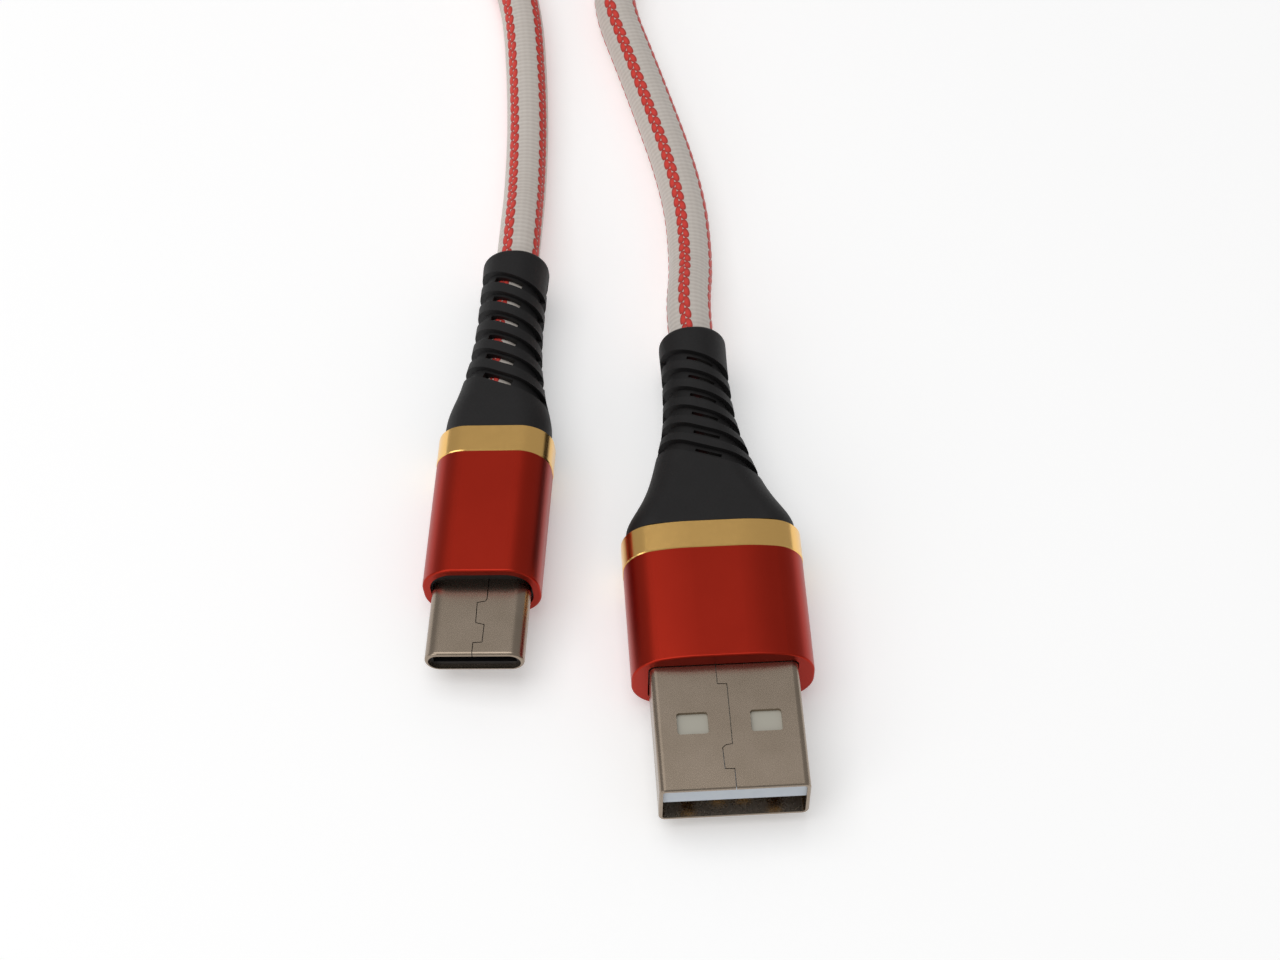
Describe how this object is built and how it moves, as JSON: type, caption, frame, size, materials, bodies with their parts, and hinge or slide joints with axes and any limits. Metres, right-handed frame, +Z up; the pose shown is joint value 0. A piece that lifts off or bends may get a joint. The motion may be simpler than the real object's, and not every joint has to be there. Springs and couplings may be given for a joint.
{
  "type": "charging cable",
  "caption": "Textile-covered charging cable with a USB-A plug and a USB-C plug in red metal bodies with gold rings and slotted black strain reliefs.",
  "frame": {"origin": "on the table, under the middle of the box round the two plugs with their strain reliefs", "axes": "+Z up from the table, -Y the way both plugs point, +X to the right as seen by someone who looks at the plugs' open ends"},
  "size_m": [0.0504, 0.1547, 0.0137],
  "materials": {
    "nickel_shell": "satin nickel plate",
    "white_insulator": "smooth",
    "black_insulator": "smooth",
    "contact_metal": "gold plate",
    "latch_steel": "plain",
    "solder": "bright",
    "red_wire": "smooth",
    "white_wire": "smooth",
    "green_wire": "smooth",
    "black_wire": "smooth",
    "jacket": "matt",
    "milky_mould": "smooth",
    "black_mould": "smooth",
    "red_anodised": "blasted and anodised",
    "gold_anodised": "polished and anodised",
    "black_elastomer": "matt, fine grain",
    "textile": "woven, with red tracer lines",
    "card": "circuit board",
    "resistor": "smooth",
    "strap": "hook and loop"
  },
  "bodies": {
    "root": {"usb_a_shell": "nickel_shell", "usb_a_insulator": "white_insulator", "usb_a_contact_vbus": "contact_metal", "usb_a_contact_data_minus": "contact_metal", "usb_a_contact_data_plus": "contact_metal", "usb_a_contact_ground": "contact_metal", "usb_a_solder_joints": "solder", "usb_a_wire_red": "red_wire", "usb_a_wire_white": "white_wire", "usb_a_wire_green": "green_wire", "usb_a_wire_black": "black_wire", "usb_a_inner_jacket": "jacket", "usb_a_inner_mould": "milky_mould", "usb_a_body": "red_anodised", "usb_a_ring": "gold_anodised", "usb_a_strain_relief": "black_elastomer", "cable_end_usb_a": "textile", "usb_c_shell": "nickel_shell", "usb_c_insulator": "black_insulator", "usb_c_contacts_upper": "contact_metal", "usb_c_contacts_lower": "contact_metal", "usb_c_latch_plate": "latch_steel", "usb_c_paddle_card": "card", "usb_c_pull_up_resistor": "resistor", "usb_c_solder_joints": "solder", "usb_c_wire_red": "red_wire", "usb_c_wire_white": "white_wire", "usb_c_wire_green": "green_wire", "usb_c_wire_black": "black_wire", "usb_c_inner_jacket": "jacket", "usb_c_inner_mould": "black_mould", "usb_c_body": "red_anodised", "usb_c_ring": "gold_anodised", "usb_c_strain_relief": "black_elastomer", "cable_end_usb_c": "textile", "cable_run_usb_a": "textile", "cable_run_usb_c": "textile", "cable_coil": "textile", "coil_strap": "strap"}
  },
  "joints": []
}
